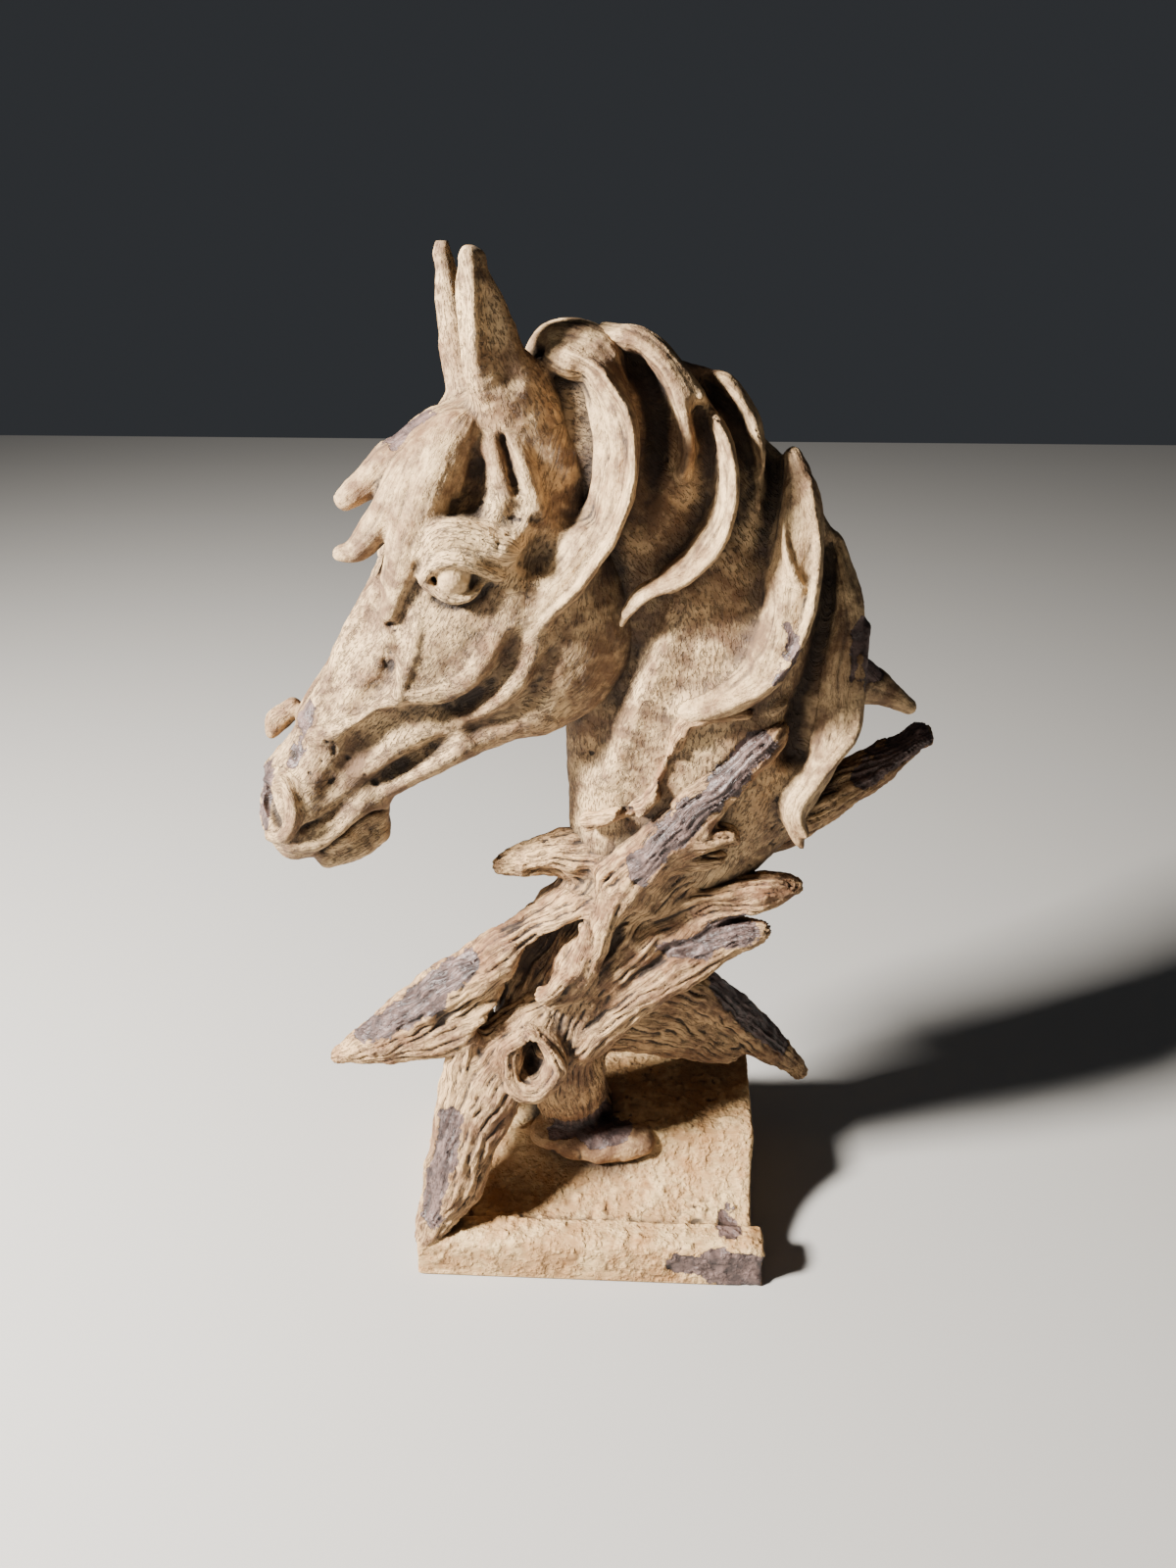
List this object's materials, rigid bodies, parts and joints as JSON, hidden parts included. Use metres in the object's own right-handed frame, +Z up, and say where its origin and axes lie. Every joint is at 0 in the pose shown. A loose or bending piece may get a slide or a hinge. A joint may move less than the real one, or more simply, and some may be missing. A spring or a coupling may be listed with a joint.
{
  "type": "horse head statue",
  "caption": "Cast statue of a horse's head and neck with flowing mane, growing out of a twisted driftwood root on a block plinth.",
  "frame": {"origin": "middle of the plinth's underside", "axes": "+Z up, the horse looks along -X, its left side faces -Y"},
  "size_m": [0.2651, 0.114, 0.418],
  "materials": {
    "painted_casting": "flaking cream and tan paint over purple-brown undercoat on cast resin",
    "painted_plinth": "gritty sand-coloured paint, chipped to the undercoat at the corners"
  },
  "bodies": {
    "root": {"horse_head": "painted_casting", "plinth": "painted_plinth"}
  },
  "joints": []
}
